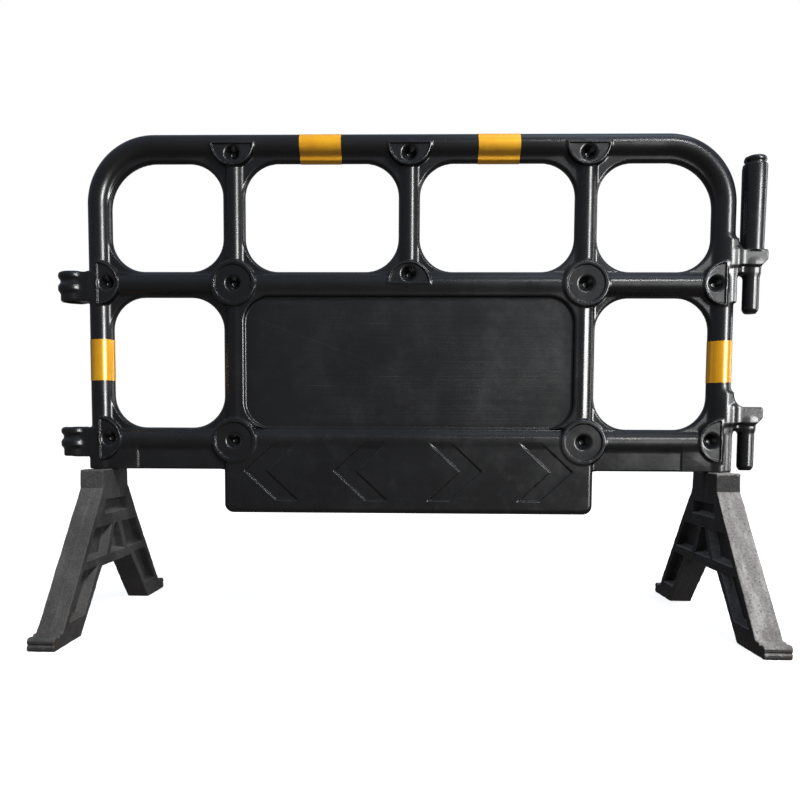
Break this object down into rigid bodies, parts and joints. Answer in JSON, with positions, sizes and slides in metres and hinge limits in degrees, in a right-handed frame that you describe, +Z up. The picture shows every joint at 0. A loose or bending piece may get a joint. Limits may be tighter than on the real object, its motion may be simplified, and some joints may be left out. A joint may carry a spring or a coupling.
{
  "type": "pedestrian traffic barrier",
  "caption": "Interlocking hollow plastic crowd and traffic barrier with a recessed advertising board, arrow kick panel, reflective bands, link pins and swivelling A-shaped feet",
  "frame": {"origin": "on the ground under the middle of the panel, which is the middle of the bounding box's base", "axes": "+Z up, +X along the panel towards the end with the hanging link pins and the lamp post, -Y out of the front face"},
  "size_m": [1.205, 0.488, 0.8256],
  "materials": {
    "moulding": "semi-gloss black moulded polyethylene with fine flow lines and light scuffs",
    "foot": "rough dark grey recycled rubber and plastic, speckled and scuffed",
    "band": "amber reflective tape, smooth with a fine cell pattern"
  },
  "bodies": {
    "panel": {"top_corner_left": "moulding", "top_corner_right": "moulding", "top_joint_left": "moulding", "top_joint_centre": "moulding", "top_joint_right": "moulding", "top_rail_left": "moulding", "top_rail_right": "moulding", "inner_post_upper_left": "moulding", "centre_post": "moulding", "inner_post_upper_right": "moulding", "middle_end_joint_left": "moulding", "middle_joint_left": "moulding", "middle_joint_centre": "moulding", "middle_joint_right": "moulding", "middle_end_joint_right": "moulding", "middle_rail_outer_left": "moulding", "middle_rail_left": "moulding", "middle_rail_right": "moulding", "middle_rail_outer_right": "moulding", "end_post_lower_left": "moulding", "inner_post_lower_left": "moulding", "inner_post_lower_right": "moulding", "end_post_lower_right": "moulding", "lower_end_joint_left": "moulding", "lower_joint_left": "moulding", "lower_joint_right": "moulding", "lower_end_joint_right": "moulding", "lower_rail_left": "moulding", "lower_rail_right": "moulding", "advertising_board": "moulding", "kick_panel": "moulding", "upper_socket": "moulding", "lower_socket": "moulding", "upper_link_arm": "moulding", "lower_link_arm": "moulding", "upper_link_pin": "moulding", "lower_link_pin": "moulding", "lamp_post": "moulding", "left_foot_peg": "moulding", "right_foot_peg": "moulding", "reflective_band_top_left": "band", "reflective_band_top_right": "band", "reflective_band_post_left": "band", "reflective_band_post_right": "band"},
    "left_foot": {"left_foot": "foot"},
    "right_foot": {"right_foot": "foot"}
  },
  "joints": [
    {"name": "left_foot_swivel", "type": "hinge", "parent": "panel", "child": "left_foot", "pos_m": [-0.5309, 0, 0.24], "axis": [0, 0, 1], "range_deg": [-90, 90]},
    {"name": "right_foot_swivel", "type": "hinge", "parent": "panel", "child": "right_foot", "pos_m": [0.5309, 0, 0.24], "axis": [0, 0, 1], "range_deg": [-90, 90]}
  ]
}
